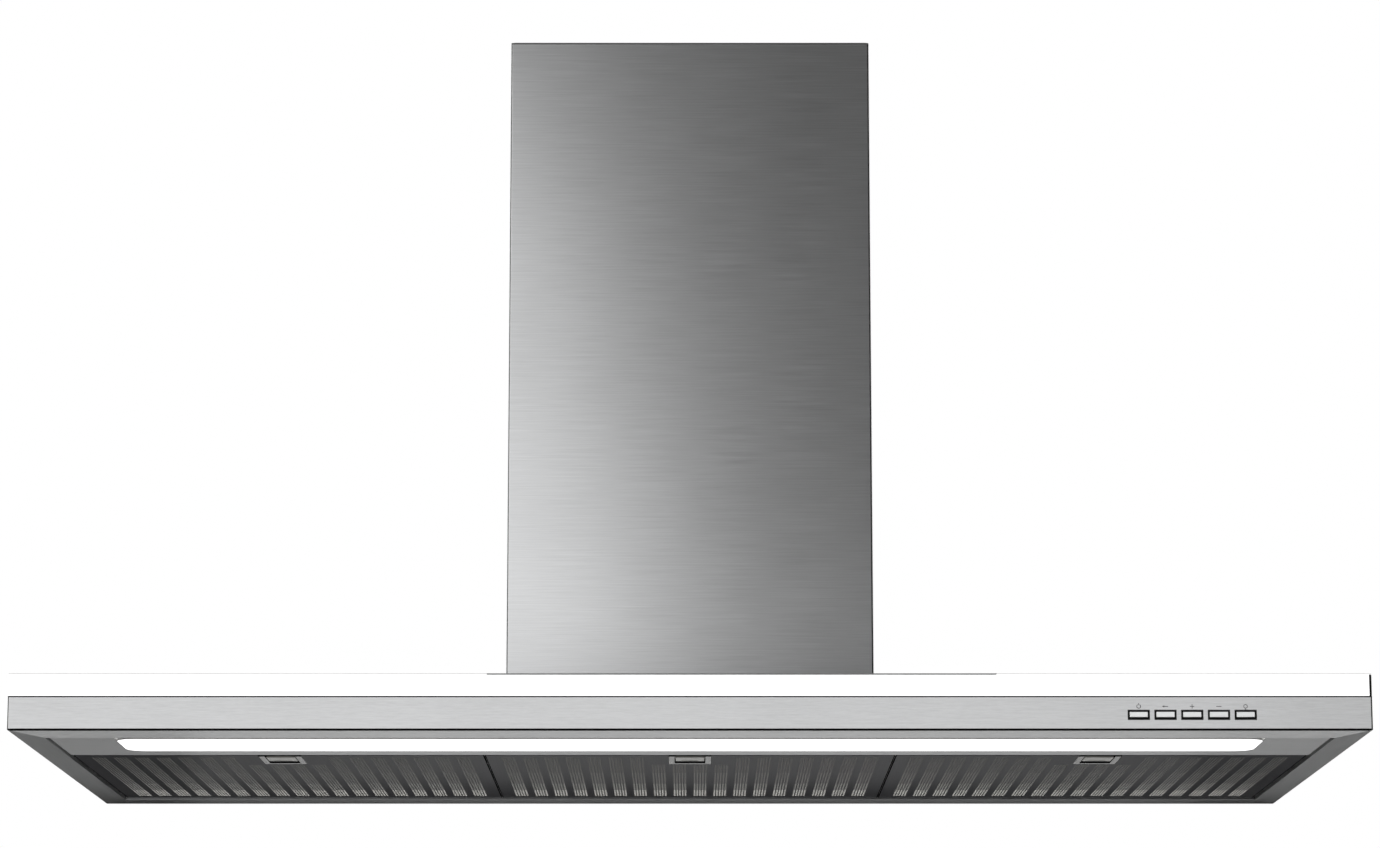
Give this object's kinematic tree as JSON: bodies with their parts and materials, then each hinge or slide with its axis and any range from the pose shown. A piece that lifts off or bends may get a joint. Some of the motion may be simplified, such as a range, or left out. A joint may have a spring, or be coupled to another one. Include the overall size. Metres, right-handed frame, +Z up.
{
  "type": "island range hood",
  "caption": "Ceiling-hung island range hood: a slim canopy with a lit band, lamp cover, swing-down grease filters and push buttons, under a telescopic chimney with a blower inside.",
  "frame": {"origin": "centre of the four ceiling bolt holes, on the ceiling plate's top face", "axes": "+Z up to the ceiling, +X to the right seen from the front, the front with the buttons faces -Y"},
  "size_m": [1.2, 0.6502, 0.679],
  "materials": {
    "brushed_steel": "fine straight brushing",
    "galvanised": "dull zinc coat",
    "opal_acrylic": "satin opal, lit from behind",
    "white_enamel": "satin white",
    "tube_glass": "phosphor-coated glass tube",
    "pale_plastic": "fine satin, light grey",
    "key_plastic": "satin silver-grey",
    "black_plastic": "fine texture",
    "board_green": "solder mask",
    "filter_aluminium": "satin anodised frame",
    "filter_steel": "fine brushing, perforated",
    "mesh_aluminium": "expanded wire mesh",
    "motor_case": "die-cast",
    "wire_sheath": "smooth",
    "flap_plastic": "moulded"
  },
  "bodies": {
    "ceiling": {"ceiling_plate": "galvanised", "upper_posts": "galvanised", "upper_chimney": "brushed_steel", "chimney_screws": "galvanised"},
    "hood": {"lower_chimney": "brushed_steel", "chimney_collar": "brushed_steel", "lower_posts": "galvanised", "frame_bolts": "galvanised", "top_cover": "brushed_steel", "canopy_deck": "galvanised", "canopy_front": "brushed_steel", "canopy_rear": "brushed_steel", "canopy_left": "brushed_steel", "canopy_right": "brushed_steel", "glow_band": "opal_acrylic", "glow_leds": "white_enamel", "lamp_panel": "brushed_steel", "lamp_reflector": "white_enamel", "lamp_tubes": "tube_glass", "lamp_holders": "white_enamel", "ballast": "white_enamel", "button_bezel": "black_plastic", "button_board": "board_green", "control_box": "black_plastic", "wiring": "wire_sheath", "filter_brackets": "galvanised", "blower_box": "galvanised", "blower_scroll": "galvanised", "blower_sides": "galvanised", "motor": "motor_case", "motor_bracket": "galvanised", "capacitor": "white_enamel", "outlet_collar": "black_plastic", "terminal_box": "black_plastic", "cable_gland": "black_plastic"},
    "lamp_cover": {"lamp_diffuser": "opal_acrylic"},
    "blower_wheel": {"impeller": "black_plastic", "motor_shaft": "galvanised"},
    "flap_front": {"flap_front": "flap_plastic"},
    "flap_rear": {"flap_rear": "flap_plastic"},
    "button_1": {"button_1": "key_plastic"},
    "button_2": {"button_2": "key_plastic"},
    "button_3": {"button_3": "key_plastic"},
    "button_4": {"button_4": "key_plastic"},
    "button_5": {"button_5": "key_plastic"},
    "filter_left": {"filter_face_left": "filter_steel", "filter_frame_left": "filter_aluminium", "filter_mesh_left": "mesh_aluminium", "latch_frame_left": "pale_plastic"},
    "latch_left": {"latch_left": "pale_plastic"},
    "filter_middle": {"filter_face_middle": "filter_steel", "filter_frame_middle": "filter_aluminium", "filter_mesh_middle": "mesh_aluminium", "latch_frame_middle": "pale_plastic"},
    "latch_middle": {"latch_middle": "pale_plastic"},
    "filter_right": {"filter_face_right": "filter_steel", "filter_frame_right": "filter_aluminium", "filter_mesh_right": "mesh_aluminium", "latch_frame_right": "pale_plastic"},
    "latch_right": {"latch_right": "pale_plastic"}
  },
  "joints": [
    {"name": "height_adjust", "type": "slide", "parent": "ceiling", "child": "hood", "axis": [0, 0, -1], "range_m": [0, 0.42]},
    {"name": "button_1_press", "type": "slide", "parent": "hood", "child": "button_1", "axis": [0, 1, 0], "range_m": [0, 0.0012], "stiffness_N_per_m": 1200, "springref_m": -0.0005},
    {"name": "button_2_press", "type": "slide", "parent": "hood", "child": "button_2", "axis": [0, 1, 0], "range_m": [0, 0.0012], "stiffness_N_per_m": 1200, "springref_m": -0.0005},
    {"name": "button_3_press", "type": "slide", "parent": "hood", "child": "button_3", "axis": [0, 1, 0], "range_m": [0, 0.0012], "stiffness_N_per_m": 1200, "springref_m": -0.0005},
    {"name": "button_4_press", "type": "slide", "parent": "hood", "child": "button_4", "axis": [0, 1, 0], "range_m": [0, 0.0012], "stiffness_N_per_m": 1200, "springref_m": -0.0005},
    {"name": "button_5_press", "type": "slide", "parent": "hood", "child": "button_5", "axis": [0, 1, 0], "range_m": [0, 0.0012], "stiffness_N_per_m": 1200, "springref_m": -0.0005},
    {"name": "filter_left_swing", "type": "hinge", "parent": "hood", "child": "filter_left", "pos_m": [-0.3823, 0.275, -0.672], "axis": [1, 0, 0], "range_deg": [0, 80]},
    {"name": "latch_left_pull", "type": "slide", "parent": "filter_left", "child": "latch_left", "axis": [0, 1, 0], "range_m": [0, 0.008], "stiffness_N_per_m": 300, "springref_m": -0.004},
    {"name": "filter_middle_swing", "type": "hinge", "parent": "hood", "child": "filter_middle", "pos_m": [0, 0.275, -0.672], "axis": [1, 0, 0], "range_deg": [0, 80]},
    {"name": "latch_middle_pull", "type": "slide", "parent": "filter_middle", "child": "latch_middle", "axis": [0, 1, 0], "range_m": [0, 0.008], "stiffness_N_per_m": 300, "springref_m": -0.004},
    {"name": "filter_right_swing", "type": "hinge", "parent": "hood", "child": "filter_right", "pos_m": [0.3823, 0.275, -0.672], "axis": [1, 0, 0], "range_deg": [0, 80]},
    {"name": "latch_right_pull", "type": "slide", "parent": "filter_right", "child": "latch_right", "axis": [0, 1, 0], "range_m": [0, 0.008], "stiffness_N_per_m": 300, "springref_m": -0.004},
    {"name": "lamp_cover_swing", "type": "hinge", "parent": "hood", "child": "lamp_cover", "pos_m": [0, -0.153, -0.6725], "axis": [1, 0, 0], "range_deg": [0, 75]},
    {"name": "blower_spin", "type": "hinge", "parent": "hood", "child": "blower_wheel", "pos_m": [0, -0.03, -0.48], "axis": [1, 0, 0], "continuous": true},
    {"name": "flap_front_swing", "type": "hinge", "parent": "hood", "child": "flap_front", "pos_m": [0, 0.002, -0.296], "axis": [-1, 0, 0], "range_deg": [0, 75]},
    {"name": "flap_rear_swing", "type": "hinge", "parent": "hood", "child": "flap_rear", "pos_m": [0, 0.01, -0.296], "axis": [1, 0, 0], "range_deg": [0, 75]}
  ]
}
